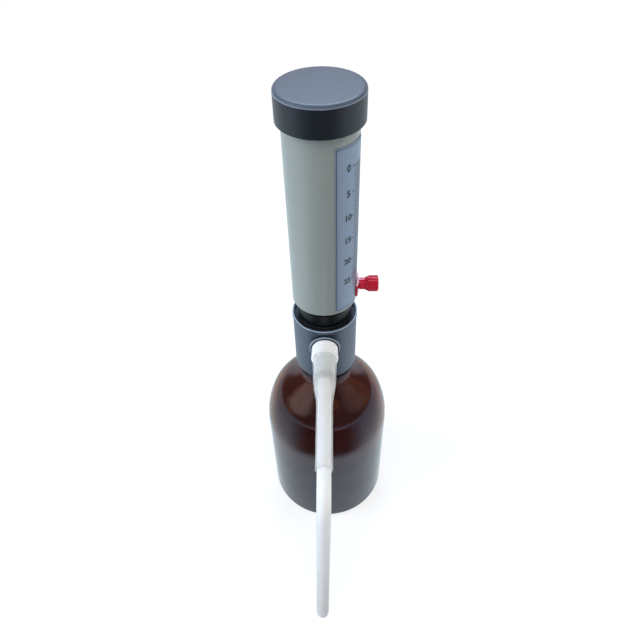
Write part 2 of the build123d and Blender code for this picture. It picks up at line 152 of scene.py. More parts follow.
# Turning marks run round the block, 0.25 mm apart.
marks = add_node(tree, "ShaderNodeTexWave",
                 {"wave_type": "BANDS", "bands_direction": "Z", "Scale": 640.0,
                  "Distortion": 1.5, "Detail": 2.0},
                 {"Vector": place.outputs["Object"]})
cloud = add_node(tree, "ShaderNodeTexNoise", {"Scale": 90.0, "Detail": 4.0},
                 {"Vector": place.outputs["Object"]})
shade = add_node(tree, "ShaderNodeMix",
                 {"data_type": "RGBA", 6: linear("#222D3B"), 7: linear("#2C3746")},
                 {0: cloud.outputs["Fac"]})
gloss = add_node(tree, "ShaderNodeMapRange", {"To Min": 0.32, "To Max": 0.46},
                 {"Value": cloud.outputs["Fac"]})
bump = add_node(tree, "ShaderNodeBump", {"Strength": 0.08, "Distance": 0.0001},
                {"Height": marks.outputs["Fac"]})
# Painted shade darkens the groove inside the rim and the flat of the rim, which are also made
# duller, and a painted highlight lightens the rim's outer edge over its last 0.5 mm.
groove_inner, rim_outer, rim_foot = 0.0170, 0.0190, 0.1786
block_outer, boss_radius = 0.01903, 0.009
hose_low, hose_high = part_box("hose_sleeve")
outlet_level = (hose_low.z + hose_high.z) / 2
axes = add_node(tree, "ShaderNodeSeparateXYZ", {}, {"Vector": place.outputs["Object"]})
level_part = add_node(tree, "ShaderNodeVectorMath", {"operation": "MULTIPLY", 1: (1.0, 1.0, 0.0)},
                      {0: place.outputs["Object"]})
off_axis = add_node(tree, "ShaderNodeVectorMath", {"operation": "LENGTH"},
                    {0: level_part.outputs["Vector"]})
on_rim = add_node(tree, "ShaderNodeMapRange",
                  {"From Min": rim_foot - 0.0001, "From Max": rim_foot + 0.0001},
                  {"Value": axes.outputs["Z"]})
across_rim = add_node(tree, "ShaderNodeMapRange",
                      {"From Min": groove_inner, "From Max": rim_outer},
                      {"Value": off_axis.outputs["Value"]})
rim_shade_and_highlight = add_node(tree, "ShaderNodeValToRGB", {}, {"Fac": across_rim.outputs[0]})
ramp = rim_shade_and_highlight.color_ramp
ramp.elements[0].position, ramp.elements[0].color = 0.66, linear("#10161C")
ramp.elements[1].position, ramp.elements[1].color = 0.985, linear("#27323F")
for position, tone in ((0.78, "#8491A0"), (0.92, "#8491A0")):
    ramp.elements.new(position).color = linear(tone)
shade = add_node(tree, "ShaderNodeMix", {"data_type": "RGBA"},
                 {0: on_rim.outputs[0], 6: shade.outputs[2], 7: rim_shade_and_highlight.outputs["Color"]})
groove_dullness = add_node(tree, "ShaderNodeMapRange", {"From Min": 0.74, "From Max": 0.66, "To Max": 0.75},
                 {"Value": across_rim.outputs[0]})
groove_dullness = add_node(tree, "ShaderNodeMath", {"operation": "MULTIPLY"},
                 {0: groove_dullness.outputs[0], 1: on_rim.outputs[0]})
gloss = add_node(tree, "ShaderNodeMath", {"operation": "MAXIMUM"},
                 {0: gloss.outputs[0], 1: groove_dullness.outputs[0]})
# The same on the boss: painted shade in a ring round the white nut and on the boss's side, and a
# painted highlight on its edge.
from_boss = add_node(tree, "ShaderNodeVectorMath",
                     {"operation": "SUBTRACT", 1: (0.0, 0.0, outlet_level)},
                     {0: place.outputs["Object"]})
from_boss = add_node(tree, "ShaderNodeVectorMath", {"operation": "MULTIPLY", 1: (1.0, 0.0, 1.0)},
                     {0: from_boss.outputs["Vector"]})
from_boss = add_node(tree, "ShaderNodeVectorMath", {"operation": "LENGTH"},
                     {0: from_boss.outputs["Vector"]})
across_boss = add_node(tree, "ShaderNodeMapRange", {"From Max": boss_radius},
                       {"Value": from_boss.outputs["Value"]})
boss_shade_and_highlight = add_node(tree, "ShaderNodeValToRGB", {}, {"Fac": across_boss.outputs[0]})
ramp = boss_shade_and_highlight.color_ramp
ramp.elements[0].position, ramp.elements[0].color = 0.91, linear("#080B0E")
ramp.elements[1].position, ramp.elements[1].color = 0.995, linear("#0C1015")
for position, tone in ((0.94, "#76838F"), (0.975, "#76838F")):
    ramp.elements.new(position).color = linear(tone)
on_boss = add_node(tree, "ShaderNodeMapRange",
                   {"From Min": block_outer, "From Max": block_outer + 0.00007},
                   {"Value": off_axis.outputs["Value"]})
shade = add_node(tree, "ShaderNodeMix", {"data_type": "RGBA"},
                 {0: on_boss.outputs[0], 6: shade.outputs[2], 7: boss_shade_and_highlight.outputs["Color"]})
tree.links.new(shade.outputs[2], shader.inputs["Base Color"])
tree.links.new(gloss.outputs[0], shader.inputs["Roughness"])
tree.links.new(bump.outputs[0], shader.inputs["Normal"])
dress(block_pvc, "valve_block")

# ---- Cap and inner dark pieces ------------------------------------------------------------
# Injection-moulded in dark slate ABS. The mould is spark-eroded, so the skin has a fine even
# grain that softens the highlights; the cap screws on the piston rod.
dark_abs, tree, shader = new_material(
    "moulded_slate_abs", Base_Color=linear("#121820"), Roughness=0.34, IOR=1.5,
    Specular_IOR_Level=0.5)
place = add_node(tree, "ShaderNodeTexCoord")
# Grain of the eroded mould, about 0.3 mm, drawn at 0.5 mm so that it shows.
grain = add_node(tree, "ShaderNodeTexNoise", {"Scale": 2000.0, "Detail": 2.0},
                 {"Vector": place.outputs["Object"]})
cloud = add_node(tree, "ShaderNodeTexNoise", {"Scale": 60.0, "Detail": 5.0},
                 {"Vector": place.outputs["Object"]})
gloss = add_node(tree, "ShaderNodeMapRange", {"To Min": 0.30, "To Max": 0.42},
                 {"Value": cloud.outputs["Fac"]})
bump = add_node(tree, "ShaderNodeBump", {"Strength": 0.12, "Distance": 0.0001},
                {"Height": grain.outputs["Fac"]})
tree.links.new(gloss.outputs[0], shader.inputs["Roughness"])
tree.links.new(bump.outputs[0], shader.inputs["Normal"])
# A painted highlight lightens the rounded edges, brightest where they leave the upright side.
slope = add_node(tree, "ShaderNodeSeparateXYZ", {}, {"Vector": place.outputs["Normal"]})
edge_highlight = add_node(tree, "ShaderNodeValToRGB", {}, {"Fac": slope.outputs["Z"]})
ramp = edge_highlight.color_ramp
ramp.elements[0].position, ramp.elements[0].color = 0.02, linear("#121820")
ramp.elements[1].position, ramp.elements[1].color = 0.99, linear("#121820")
for position, tone in ((0.16, "#76818F"), (0.34, "#4A5462"), (0.80, "#414B58"), (0.93, "#5A6573")):
    ramp.elements.new(position).color = linear(tone)
tree.links.new(edge_highlight.outputs["Color"], shader.inputs["Base Color"])
dress(dark_abs, "cap", "cylinder_head", "rod_disc", "selector_shoe")

# ---- Collar nut ---------------------------------------------------------------------------
# Moulded in the cap's slate ABS; painted darker and less glossy than the cap, as painted shade
# for where it sits under the sleeve. It screws over the spigot of the block and holds the glass
# down.
shaded_slate_abs, tree, shader = new_material(
    "moulded_slate_abs_painted_shade", Base_Color=linear("#06090B"), Roughness=0.36, IOR=1.5,
    Specular_IOR_Level=0.25)
place = add_node(tree, "ShaderNodeTexCoord")
# Grain of the eroded mould, drawn at 0.5 mm as on the cap.
grain = add_node(tree, "ShaderNodeTexNoise", {"Scale": 2000.0, "Detail": 2.0},
                 {"Vector": place.outputs["Object"]})
bump = add_node(tree, "ShaderNodeBump", {"Strength": 0.15, "Distance": 0.0001},
                {"Height": grain.outputs["Fac"]})
shade = add_node(tree, "ShaderNodeMix",
                 {"data_type": "RGBA", 6: linear("#05080A"), 7: linear("#090D0F")},
                 {0: grain.outputs["Fac"]})
tree.links.new(shade.outputs[2], shader.inputs["Base Color"])
tree.links.new(bump.outputs[0], shader.inputs["Normal"])
dress(shaded_slate_abs, "collar_nut")

# ---- Sleeve -------------------------------------------------------------------------------
# Extruded tube in pale grey-green polypropylene, slotted on one side. Extrusion leaves it
# glossy, with very faint lines along its length.
sleeve_pp, tree, shader = new_material(
    "extruded_grey_green_polypropylene", Base_Color=linear("#7E837D"), Roughness=0.2, IOR=1.49,
    Subsurface_Weight=0.06, Subsurface_Scale=0.002, Subsurface_Radius=(1.0, 1.0, 1.0))
place = add_node(tree, "ShaderNodeTexCoord")
# Die lines about 1 mm apart and 40 mm long.
stretch = add_node(tree, "ShaderNodeMapping", {"Scale": (900.0, 900.0, 22.0)},
                   {"Vector": place.outputs["Object"]})
lines = add_node(tree, "ShaderNodeTexNoise", {"Scale": 1.0, "Detail": 2.0},
                 {"Vector": stretch.outputs[0]})
bump = add_node(tree, "ShaderNodeBump", {"Strength": 0.10, "Distance": 0.0001},
                {"Height": lines.outputs["Fac"]})
gloss = add_node(tree, "ShaderNodeMapRange", {"To Min": 0.16, "To Max": 0.26},
                 {"Value": lines.outputs["Fac"]})
tree.links.new(bump.outputs[0], shader.inputs["Normal"])
tree.links.new(gloss.outputs[0], shader.inputs["Roughness"])
dress(sleeve_pp, "sleeve")

# ---- Scale plate and its print ------------------------------------------------------------
# Silver-blue polyester foil stuck beside the slot, with the volume scale screen-printed in
# dark ink: a number each 5 mL and ticks down to half a millilitre.
foil, tree, shader = new_material(
    "silver_polyester_foil", Base_Color=linear("#7A8798"), Metallic=0.35, Roughness=0.34)
place = add_node(tree, "ShaderNodeTexCoord")
# Brushed look of the foil, lines 0.2 mm apart.
stretch = add_node(tree, "ShaderNodeMapping", {"Scale": (300.0, 300.0, 5000.0)},
                   {"Vector": place.outputs["Object"]})
lines = add_node(tree, "ShaderNodeTexNoise", {"Scale": 1.0, "Detail": 3.0},
                 {"Vector": stretch.outputs[0]})
shade = add_node(tree, "ShaderNodeMix",
                 {"data_type": "RGBA", 6: linear("#738091"), 7: linear("#818E9F")},
                 {0: lines.outputs["Fac"]})
tree.links.new(shade.outputs[2], shader.inputs["Base Color"])
dress(foil, "scale_plate")

print_ink, tree, shader = new_material("dark_screen_ink", Base_Color=linear("#141A24"),
                                       Roughness=0.45)
place = add_node(tree, "ShaderNodeTexCoord")
# The ink film is slightly uneven, in patches of about 0.5 mm.
patch = add_node(tree, "ShaderNodeTexNoise", {"Scale": 1800.0, "Detail": 2.0},
                 {"Vector": place.outputs["Object"]})
shade = add_node(tree, "ShaderNodeMix",
                 {"data_type": "RGBA", 6: linear("#10161E"), 7: linear("#1C2430")},
                 {0: patch.outputs["Fac"]})
tree.links.new(shade.outputs[2], shader.inputs["Base Color"])

plate_low, plate_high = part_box("scale_plate")
plate_radius, ink_film = 0.0183, 0.00003
zero_level, five_ml = 0.2809, 0.013285


def wrap_print(mesh):
    """Bend a flat print, x along the arc from the +X side and y up, onto the plate."""
    for vertex in mesh.vertices:
        angle = vertex.co.x / plate_radius
        radius = plate_radius + ink_film + vertex.co.z
        vertex.co = (radius * cos(angle), radius * sin(angle), vertex.co.y)


# Bars are cut each half millimetre, so that they follow the plate.
bend_step = 0.0005


def flat_bar(bm, left, bottom, width, height):
    """One printed bar, cut along its length so that it can be bent."""
    made = bmesh.ops.create_grid(bm, x_segments=8 + int(width / bend_step), y_segments=1,
                                 size=0.5)["verts"]
    bmesh.ops.scale(bm, verts=made, vec=(width, height, 1))
    bmesh.ops.translate(bm, verts=made, vec=(left + width / 2, bottom + height / 2, 0))


def at_angle(degrees_from_spout):
    """Distance along the arc of a place counted in degrees from the spout's side."""
    return radians(degrees_from_spout - 90) * plate_radius


# A long tick each 5 mL, a middling one each 1 mL and a short one each half, all up to the slot.
long_tick, middle_tick, short_tick = (50.0, 0.0005), (54.5, 0.00042), (59.0, 0.00036)
ticks_end = at_angle(76.5)
bm = bmesh.new()
for index in range(51):
    level = zero_level - index * five_ml / 10
    degrees_round, thick = (long_tick if index % 10 == 0 else
                            middle_tick if index % 2 == 0 else short_tick)
    start = at_angle(degrees_round)
    flat_bar(bm, start, level - thick / 2, ticks_end - start, thick)
# A thin line runs round the plate just inside its edge.
line_width, line_inset = 0.0003, 0.0007
edge_left, edge_right = at_angle(21.6), at_angle(77.3)
low, high = plate_low.z + line_inset, plate_high.z - line_inset
flat_bar(bm, edge_left, low, edge_right - edge_left, line_width)
flat_bar(bm, edge_left, high - line_width, edge_right - edge_left, line_width)
flat_bar(bm, edge_left, low, line_width, high - low)
ticks_mesh = bpy.data.meshes.new("scale_print")
bm.to_mesh(ticks_mesh)
bm.free()
wrap_print(ticks_mesh)
ticks_mesh.materials.append(print_ink)
ticks = bpy.data.objects.new("scale_print", ticks_mesh)
bpy.context.scene.collection.objects.link(ticks)
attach(ticks, "sleeve")

figure_height, figure_boldness, figures_middle = 0.0047, 0.0002, at_angle(43.0)
for index in range(6):
    curve = bpy.data.curves.new("number", "FONT")
    curve.body = str(index * 5)
    curve.size, curve.offset = figure_height, figure_boldness
    curve.align_x, curve.align_y = "CENTER", "CENTER"
    text = bpy.data.objects.new("number", curve)
    bpy.context.scene.collection.objects.link(text)
    mesh = bpy.data.meshes.new_from_object(text)
    bpy.data.objects.remove(text)
    mesh.transform(Matrix.Translation((figures_middle, zero_level - index * five_ml, 0)))
    wrap_print(mesh)
    mesh.materials.clear()
    mesh.materials.append(print_ink)
    number = bpy.data.objects.new("scale_number_%d" % (index * 5), mesh)
    bpy.context.scene.collection.objects.link(number)
    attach(number, "sleeve")

# ---- Volume selector ----------------------------------------------------------------------
# The pointer, the washer and the fluted knob are moulded in red polystyrene, the pointer clear;
# a steel stud joins them through the slot, and turning the knob clamps the shoe behind it.
red_ps, tree, shader = new_material(
    "moulded_red_polystyrene", Base_Color=linear("#BC0E2B"), Roughness=0.2, IOR=1.58,
    Subsurface_Weight=0.1, Subsurface_Scale=0.002)
place = add_node(tree, "ShaderNodeTexCoord")
cloud = add_node(tree, "ShaderNodeTexNoise", {"Scale": 300.0, "Detail": 3.0},
                 {"Vector": place.outputs["Object"]})
shade = add_node(tree, "ShaderNodeMix",
                 {"data_type": "RGBA", 6: linear("#AE0B27"), 7: linear("#C61434")},
                 {0: cloud.outputs["Fac"]})
tree.links.new(shade.outputs[2], shader.inputs["Base Color"])
dress(red_ps, "selector_knob", "knob_washer")

clear_red, tree, shader = new_material(
    "transparent_red_polystyrene", Base_Color=linear("#D01C38"), Roughness=0.12, IOR=1.58,
    Transmission_Weight=0.45, Specular_IOR_Level=0.3)
place = add_node(tree, "ShaderNodeTexCoord")
cloud = add_node(tree, "ShaderNodeTexNoise", {"Scale": 400.0, "Detail": 3.0},
                 {"Vector": place.outputs["Object"]})
gloss = add_node(tree, "ShaderNodeMapRange", {"To Min": 0.06, "To Max": 0.2},
                 {"Value": cloud.outputs["Fac"]})
tree.links.new(gloss.outputs[0], shader.inputs["Roughness"])
dress(clear_red, "selector_pointer")

# ---- Steel pieces -------------------------------------------------------------------------
# Rod, stud and valve spring in stainless steel, left bright from the die it is drawn through.
# The rod screws into the piston below and the disc above.
steel, tree, shader = new_material(
    "drawn_stainless_steel", Base_Color=linear("#C4C6C8"), Metallic=1.0, Roughness=0.24)
place = add_node(tree, "ShaderNodeTexCoord")
# Die marks 0.3 mm apart along the bar.
stretch = add_node(tree, "ShaderNodeMapping", {"Scale": (3000.0, 3000.0, 60.0)},
                   {"Vector": place.outputs["Object"]})
lines = add_node(tree, "ShaderNodeTexNoise", {"Scale": 1.0, "Detail": 2.0},
                 {"Vector": stretch.outputs[0]})
gloss = add_node(tree, "ShaderNodeMapRange", {"To Min": 0.18, "To Max": 0.34},
                 {"Value": lines.outputs["Fac"]})
tree.links.new(gloss.outputs[0], shader.inputs["Roughness"])
dress(steel, "piston_rod", "selector_stud")

# ---- Glass cylinder -----------------------------------------------------------------------
# Borosilicate tube shrunk on a mandrel to an exact bore, in which the piston rings run. Its
# ground foot stands on a seal in the block, and the collar nut holds it down.
clear_glass, tree, shader = new_material(
    "borosilicate_glass", Base_Color=linear("#F4F8F7"), Roughness=0.02, IOR=1.47,
    Transmission_Weight=1.0)
place = add_node(tree, "ShaderNodeTexCoord")
cloud = add_node(tree, "ShaderNodeTexNoise", {"Scale": 120.0, "Detail": 3.0},
                 {"Vector": place.outputs["Object"]})
gloss = add_node(tree, "ShaderNodeMapRange", {"To Min": 0.01, "To Max": 0.05},
                 {"Value": cloud.outputs["Fac"]})
tree.links.new(gloss.outputs[0], shader.inputs["Roughness"])
dress(clear_glass, "glass_cylinder")

# ---- White fluoropolymer pieces -----------------------------------------------------------
# Nut with nipple, valve seats, cage, piston and intake tube, turned or extruded in PTFE: waxy
# white, a little translucent, never sharply glossy.
white_ptfe, tree, shader = new_material(
    "turned_white_ptfe", Base_Color=linear("#DAD9D6"), Roughness=0.4, IOR=1.38,
    Subsurface_Weight=0.35, Subsurface_Scale=0.0025, Subsurface_Radius=(1.0, 1.0, 1.0))
place = add_node(tree, "ShaderNodeTexCoord")
cloud = add_node(tree, "ShaderNodeTexNoise", {"Scale": 250.0, "Detail": 4.0},
                 {"Vector": place.outputs["Object"]})
gloss = add_node(tree, "ShaderNodeMapRange", {"To Min": 0.32, "To Max": 0.48},
                 {"Value": cloud.outputs["Fac"]})
tree.links.new(gloss.outputs[0], shader.inputs["Roughness"])
# The nipple is painted greyer than the nut, painted shade for the dark that shows through its thin
# wall.
nut_ends, nipple_starts = hose_high.y - 0.0002, hose_high.y - 0.0008
along = add_node(tree, "ShaderNodeSeparateXYZ", {}, {"Vector": place.outputs["Object"]})
nipple_shade = add_node(tree, "ShaderNodeMapRange", {"From Min": nut_ends, "From Max": nipple_starts},
                {"Value": along.outputs["Y"]})
shade = add_node(tree, "ShaderNodeMix",
                 {"data_type": "RGBA", 6: linear("#DAD9D6"), 7: linear("#9BA1A2")},
                 {0: nipple_shade.outputs[0]})
# Its last 1.5 mm, cut to a slope, are painted darker still, a ring of painted shade.
nipple_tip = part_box("discharge_fitting")[0].y
slope_from, slope_to = nipple_tip + 0.0016, nipple_tip + 0.0013
tip_shade = add_node(tree, "ShaderNodeMapRange",
                   {"From Min": slope_from, "From Max": slope_to},
                   {"Value": along.outputs["Y"]})
shade = add_node(tree, "ShaderNodeMix", {"data_type": "RGBA", 7: linear("#262E30")},
                 {0: tip_shade.outputs[0], 6: shade.outputs[2]})
tree.links.new(shade.outputs[2], shader.inputs["Base Color"])
dress(white_ptfe, "discharge_fitting", "inlet_valve_seat", "inlet_valve_cage", "outlet_valve_seat",
      "piston", "intake_tube")

# ---- Hose sleeve --------------------------------------------------------------------------
# Extruded translucent silicone tube, pushed over the nipple so that its end is stretched wide.
# The nipple and the spout inside it show through as paler bands.
silicone, tree, shader = new_material(
    "extruded_translucent_silicone", Base_Color=linear("#E9E8E4"), Roughness=0.25, IOR=1.41,
    Alpha=0.31)
place = add_node(tree, "ShaderNodeTexCoord")
stretch = add_node(tree, "ShaderNodeMapping", {"Scale": (500.0, 20.0, 500.0)},
                   {"Vector": place.outputs["Object"]})
lines = add_node(tree, "ShaderNodeTexNoise", {"Scale": 1.0, "Detail": 3.0},
                 {"Vector": stretch.outputs[0]})
gloss = add_node(tree, "ShaderNodeMapRange", {"To Min": 0.20, "To Max": 0.30},
                 {"Value": lines.outputs["Fac"]})
tree.links.new(gloss.outputs[0], shader.inputs["Roughness"])

hose_wall, taper_length = 0.0008, 0.020
# The bore clears the nipple and the spout by this much, so that no two skins share a place.
hose_clearance = 0.00004
nipple_root, nipple_end, hose_bore = 0.00615, 0.00555, 0.00355
taper_end = nipple_tip - taper_length


def add_piece(name, bm, material, body):
    """Finish a bmesh as a smooth piece that rides on a body."""
    bmesh.ops.remove_doubles(bm, verts=bm.verts, dist=1e-7)
    bmesh.ops.recalc_face_normals(bm, faces=bm.faces)
    for face in bm.faces:
        face.smooth = True
    mesh = bpy.data.meshes.new(name)
    bm.to_mesh(mesh)
    bm.free()
    mesh.materials.append(material)
    piece = bpy.data.objects.new(name, mesh)
    bpy.context.scene.collection.objects.link(piece)
    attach(piece, body)
    return piece


def bore_radius(y):
    """Bore of the hose: the nipple's cone, then an eased line down to the spout."""
    if y > nipple_tip:
        share = (hose_high.y - y) / (hose_high.y - nipple_tip)
        return nipple_root + (nipple_end - nipple_root) * share
    share = min((nipple_tip - y) / (nipple_tip - taper_end), 1.0)
    return hose_bore + (nipple_end - hose_bore) * (1 + cos(pi * share)) / 2


lip, bore_steps = 0.0003, 32
bore_start = hose_high.y - lip
levels = [bore_start - (bore_start - taper_end) * step / bore_steps
          for step in range(bore_steps + 1)]
levels.append(hose_low.y + lip)
outline = [(bore_radius(hose_high.y) + hose_clearance + lip, hose_high.y)]
outline += [(bore_radius(y) + hose_clearance, y) for y in levels]
outline += [(hose_bore + hose_clearance + lip, hose_low.y),
             (hose_bore + hose_wall - lip, hose_low.y)]
outline += [(bore_radius(y) + hose_wall, y) for y in reversed(levels)]
outline.append((bore_radius(hose_high.y) + hose_wall - lip, hose_high.y))
bm = bmesh.new()
corners = [bm.verts.new((0, y, outlet_level + radius)) for radius, y in outline]
edges = [bm.edges.new((corners[i - 1], corners[i])) for i in range(len(corners))]
bmesh.ops.spin(bm, geom=corners + edges, cent=(0, 0, outlet_level), axis=(0, 1, 0), angle=2 * pi,
               steps=72, use_merge=True)
hose = add_piece("silicone_hose", bm, silicone, "head")
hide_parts("hose_sleeve")

# ---- Spout tube ---------------------------------------------------------------------------
# Milky FEP tube, bent hot over a former. Its wall scatters light, so the bore shows only as a
# paler core between two darker edges.
milky_fep, tree, shader = new_material(
    "bent_milky_fep", Base_Color=linear("#F5F4F1"), Roughness=0.3, IOR=1.36,
    Transmission_Weight=0.4, Subsurface_Weight=0.5, Subsurface_Scale=0.003,
    Subsurface_Radius=(1.0, 1.0, 1.0))
place = add_node(tree, "ShaderNodeTexCoord")
# Cloudy patches in the wall, about 10 mm long.
cloud = add_node(tree, "ShaderNodeTexNoise", {"Scale": 90.0, "Detail": 2.0},
                 {"Vector": place.outputs["Object"]})
shade = add_node(tree, "ShaderNodeMix",
                 {"data_type": "RGBA", 6: linear("#F1F0ED"), 7: linear("#F9F8F5")},
                 {0: cloud.outputs["Fac"]})
tree.links.new(shade.outputs[2], shader.inputs["Base Color"])

spout_radius, spout_wall, spout_bend, spout_lead = 0.0035, 0.001, 0.013, 0.0053
spout_lean, spout_swing, spout_drop, nipple_gap = radians(6.4), radians(1.3), 0.098, 0.0015
spout_start, bend_start = nipple_tip - nipple_gap, hose_low.y - spout_lead
bm = bmesh.new()
ring = bmesh.ops.create_circle(bm, cap_ends=False, segments=48, radius=spout_radius,
                               matrix=Matrix.Translation((0, spout_start, outlet_level))
                               @ Matrix.Rotation(pi / 2, 4, "X"))["verts"]
edges = list({edge for vertex in ring for edge in vertex.link_edges})


def pull_edges(bm, edges, move):
    """Extrude a ring of edges by a straight move and give back its new edges."""
    made = bmesh.ops.extrude_edge_only(bm, edges=edges)["geom"]
    moved = [part for part in made if isinstance(part, bmesh.types.BMVert)]
    bmesh.ops.translate(bm, verts=moved, vec=move)
    return [part for part in made
            if isinstance(part, bmesh.types.BMEdge) and len(part.link_faces) == 1]


edges = pull_edges(bm, edges, (0, bend_start - spout_start, 0))
made = bmesh.ops.spin(bm, geom=edges, cent=(0, bend_start, outlet_level - spout_bend),
                      axis=(1, 0, 0), angle=pi / 2 - spout_lean, steps=24,
                      use_duplicate=False)["geom_last"]
edges = [part for part in made if isinstance(part, bmesh.types.BMEdge)]
pull_edges(bm, edges, (0, -spout_drop * sin(spout_lean), -spout_drop * cos(spout_lean)))
bmesh.ops.rotate(bm, verts=bm.verts, cent=(0, 0, outlet_level),
                 matrix=Matrix.Rotation(spout_swing, 3, "Y"))
spout = add_piece("bent_spout", bm, milky_fep, "spout")
wall = spout.modifiers.new("wall", "SOLIDIFY")
wall.thickness, wall.offset = spout_wall, -1
lip_bevel = spout.modifiers.new("lip", "BEVEL")
lip_bevel.width, lip_bevel.segments = 0.0002, 2
lip_bevel.angle_limit = radians(60)
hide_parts("spout_tube")

# ---- Valve balls --------------------------------------------------------------------------
# Ground alumina balls, white and hard, both loose. The inlet's lies on its seat and rises into
# its cage; a spring holds the outlet's up to its seat, and the liquid pushes it down.
alumina, tree, shader = new_material(
    "ground_alumina", Base_Color=linear("#F2F0EA"), Roughness=0.15, IOR=1.76)
place = add_node(tree, "ShaderNodeTexCoord")
cloud = add_node(tree, "ShaderNodeTexNoise", {"Scale": 900.0, "Detail": 2.0},
                 {"Vector": place.outputs["Object"]})
gloss = add_node(tree, "ShaderNodeMapRange", {"To Min": 0.1, "To Max": 0.22},
                 {"Value": cloud.outputs["Fac"]})
tree.links.new(gloss.outputs[0], shader.inputs["Roughness"])
dress(alumina, "inlet_ball", "outlet_ball")

# ---- Outlet valve spring ------------------------------------------------------------------
# Five turns of flat stainless wire wound on edge, standing in the well under the outlet ball.
# The ball presses it shorter as it drops.
coil_low, coil_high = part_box("outlet_spring")
coil_radius = (coil_high.x - coil_low.x) / 2
coil_middle = (coil_low + coil_high) / 2
coil_height = coil_high.z - coil_low.z
wire_width, wire_thickness = 0.0009, 0.00045
coil_turns, steps_a_turn, ball_drop = 5, 36, 0.0011
bm = bmesh.new()
section = [bm.verts.new((coil_middle.x + across, coil_middle.y, coil_low.z + up))
           for across, up in ((coil_radius, 0), (coil_radius, wire_thickness),
                              (coil_radius - wire_width, wire_thickness),
                              (coil_radius - wire_width, 0))]
edges = [bm.edges.new((section[i - 1], section[i])) for i in range(len(section))]
coil_steps = coil_turns * steps_a_turn
bmesh.ops.spin(bm, geom=section + edges, cent=coil_middle, axis=(0, 0, 1),
               angle=2 * pi * coil_turns,
               dvec=(0, 0, (coil_height - wire_thickness) / coil_steps), steps=coil_steps)
bmesh.ops.holes_fill(bm, edges=[edge for edge in bm.edges if edge.is_boundary], sides=len(section))
spring = add_piece("valve_spring", bm, steel, "head")
for face in spring.data.polygons:
    face.use_smooth = False
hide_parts("outlet_spring")
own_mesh(spring)

# ---- Seals --------------------------------------------------------------------------------
# Neck gasket, cylinder seal and piston rings, moulded in black fluoroelastomer. They are
# pressed into grooves or between faces, and the mould leaves them matt.
seal_rubber, tree, shader = new_material(
    "moulded_black_fluoroelastomer", Base_Color=linear("#26272A"), Roughness=0.55, IOR=1.5)
place = add_node(tree, "ShaderNodeTexCoord")
cloud = add_node(tree, "ShaderNodeTexNoise", {"Scale": 1200.0, "Detail": 3.0},
                 {"Vector": place.outputs["Object"]})
bump = add_node(tree, "ShaderNodeBump", {"Strength": 0.15, "Distance": 0.0001},
                {"Height": cloud.outputs["Fac"]})
tree.links.new(bump.outputs[0], shader.inputs["Normal"])
dress(seal_rubber, "neck_gasket", "cylinder_seal", "piston_ring_lower", "piston_ring_upper")

# ---- Bench, lamps and room ----------------------------------------------------------------
# Matt white bench top in a pale room, with broad soft lamps: cool ones behind and on the left,
# like windows, and weaker ones on the right and in front. The ceiling is dimmer than the walls.
bench_paint, tree, shader = new_material("matt_white_bench", Base_Color=linear("#F1F2F3"),
                                         Roughness=0.9)
shader.inputs["Specular IOR Level"].default_value = 0.1
rays = add_node(tree, "ShaderNodeLightPath")
mirrored = rays.outputs["Is Glossy Ray"]
seen = add_node(tree, "ShaderNodeMath", {"operation": "MAXIMUM"},
                {0: rays.outputs["Is Camera Ray"], 1: rays.outputs["Is Transmission Ray"]})
# White to the eye, with a third of the shadow left near the dispenser, and white in reflections.
place = add_node(tree, "ShaderNodeTexCoord")
reach = add_node(tree, "ShaderNodeVectorMath", {"operation": "LENGTH"},
                 {0: place.outputs["Object"]})
clean = add_node(tree, "ShaderNodeMapRange",
                 {"interpolation_type": "SMOOTHSTEP", "From Min": 0.25, "From Max": 0.9,
                  "To Min": 0.68, "To Max": 1.0}, {"Value": reach.outputs["Value"]})
whiteness = add_node(tree, "ShaderNodeMath", {"operation": "MULTIPLY"},
                     {0: seen.outputs[0], 1: clean.outputs[0]})
whiteness = add_node(tree, "ShaderNodeMath", {"operation": "MAXIMUM"},
                     {0: whiteness.outputs[0], 1: mirrored})
# Reflections are dimmer from the bench in front, over 100 mm away, where the user stands in
# the light.
outwards = add_node(tree, "ShaderNodeVectorMath", {"operation": "NORMALIZE"},
                    {0: place.outputs["Object"]})
axes = add_node(tree, "ShaderNodeSeparateXYZ", {}, {"Vector": outwards.outputs["Vector"]})
in_front = add_node(tree, "ShaderNodeMapRange",
                    {"interpolation_type": "SMOOTHSTEP", "From Min": -0.35, "From Max": -0.92,
                     "To Min": 0.0, "To Max": 0.88}, {"Value": axes.outputs["Y"]})
far_off = add_node(tree, "ShaderNodeMapRange",
                   {"interpolation_type": "SMOOTHSTEP", "From Min": 0.085, "From Max": 0.125,
                    "To Min": 0.0, "To Max": 1.0}, {"Value": reach.outputs["Value"]})
user_shade = add_node(tree, "ShaderNodeMath", {"operation": "MULTIPLY"},
                      {0: in_front.outputs[0], 1: far_off.outputs[0]})
user_shade = add_node(tree, "ShaderNodeMath", {"operation": "MULTIPLY"},
                      {0: user_shade.outputs[0], 1: mirrored})
brightness = add_node(tree, "ShaderNodeMath", {"operation": "SUBTRACT", 0: 1.0},
                      {1: user_shade.outputs[0]})
cool = add_node(tree, "ShaderNodeMix",
                {"data_type": "RGBA", 6: linear("#FFFFFF"), 7: linear("#E4F4FC")}, {0: mirrored})
white = add_node(tree, "ShaderNodeEmission", {},
                 {"Color": cool.outputs[2], "Strength": brightness.outputs[0]})
surface = add_node(tree, "ShaderNodeMixShader", {},
                   {0: whiteness.outputs[0], 1: shader.outputs[0], 2: white.outputs[0]})
output = next(node for node in tree.nodes if node.type == "OUTPUT_MATERIAL")
tree.links.new(surface.outputs[0], output.inputs["Surface"])
bench_reach, bench_below = 4.0, 0.0002
bm = bmesh.new()
